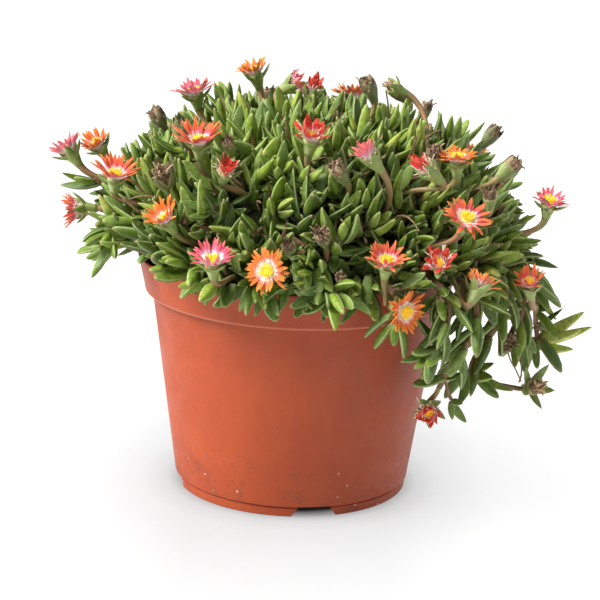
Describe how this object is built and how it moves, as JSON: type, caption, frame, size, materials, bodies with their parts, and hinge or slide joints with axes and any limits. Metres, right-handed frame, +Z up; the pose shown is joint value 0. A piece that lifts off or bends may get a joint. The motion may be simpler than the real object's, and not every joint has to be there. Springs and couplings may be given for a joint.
{
  "type": "potted ice plant",
  "caption": "Low mound of fleshy-leaved ice plant with orange daisy-like blooms, spilling over one side of a round terracotta-coloured plastic nursery pot with a flared collar.",
  "frame": {"origin": "centre of the underside of the pot's foot, on the surface that the pot stands on", "axes": "+Z up along the pot's axis; +X towards the side where the stems trail over the rim; -Y towards the front of the picture"},
  "size_m": [0.2619, 0.1994, 0.197],
  "materials": {
    "pot": "satin moulded polypropylene, terracotta orange-brown",
    "soil": "rough dark potting mix",
    "leaf": "fleshy, satin, finely beaded leaf skin, with paler edges",
    "petal_orange": "thin silky petals, warm orange, with a pale pink ring round a yellow centre",
    "petal_coral": "thin silky petals, coral, with a pale pink ring round a yellow centre",
    "petal_pink": "thin silky petals, fading from pink tips to near white at the centre",
    "petal_red": "wilting petals, deep coral red, curled in round a cream centre",
    "spent_flower": "dry, wrinkled and dull"
  },
  "bodies": {
    "root": {"pot": "pot", "soil": "soil", "leafy_stem_01": "leaf", "leafy_stem_02": "leaf", "leafy_stem_03": "leaf", "leafy_stem_04": "leaf", "leafy_stem_05": "leaf", "leafy_stem_06": "leaf", "leafy_stem_07": "leaf", "leafy_stem_08": "leaf", "leafy_stem_09": "leaf", "leafy_stem_10": "leaf", "leafy_stem_11": "leaf", "leafy_stem_12": "leaf", "leafy_stem_13": "leaf", "leafy_stem_14": "leaf", "leafy_stem_15": "leaf", "leafy_stem_16": "leaf", "leafy_stem_17": "leaf", "leafy_stem_18": "leaf", "leafy_stem_19": "leaf", "leafy_stem_20": "leaf", "bloom_01": "petal_coral", "bloom_02": "petal_orange", "bloom_03": "petal_pink", "bloom_04": "petal_red", "bloom_05": "petal_pink", "bloom_06": "petal_orange", "bloom_07": "petal_coral", "bloom_08": "petal_coral", "bloom_09": "petal_red", "bloom_10": "petal_coral", "bloom_11": "petal_orange", "bloom_12": "petal_pink", "bloom_13": "petal_orange", "bloom_14": "petal_red", "bloom_15": "petal_pink", "bloom_16": "petal_red", "bloom_17": "petal_orange", "bloom_18": "petal_coral", "bloom_19": "petal_pink", "bloom_20": "petal_coral", "bloom_21": "petal_red", "bloom_22": "petal_orange", "bloom_23": "petal_orange", "bloom_24": "petal_coral", "bloom_25": "petal_orange", "bloom_26": "petal_coral", "bloom_27": "petal_pink", "bloom_28": "petal_orange", "bloom_29": "petal_coral", "bloom_30": "petal_orange", "bloom_31": "petal_red", "spent_head_01": "spent_flower", "spent_head_02": "spent_flower", "spent_head_03": "spent_flower", "spent_head_04": "spent_flower", "spent_head_05": "spent_flower", "spent_head_06": "spent_flower", "spent_head_07": "spent_flower"}
  },
  "joints": []
}
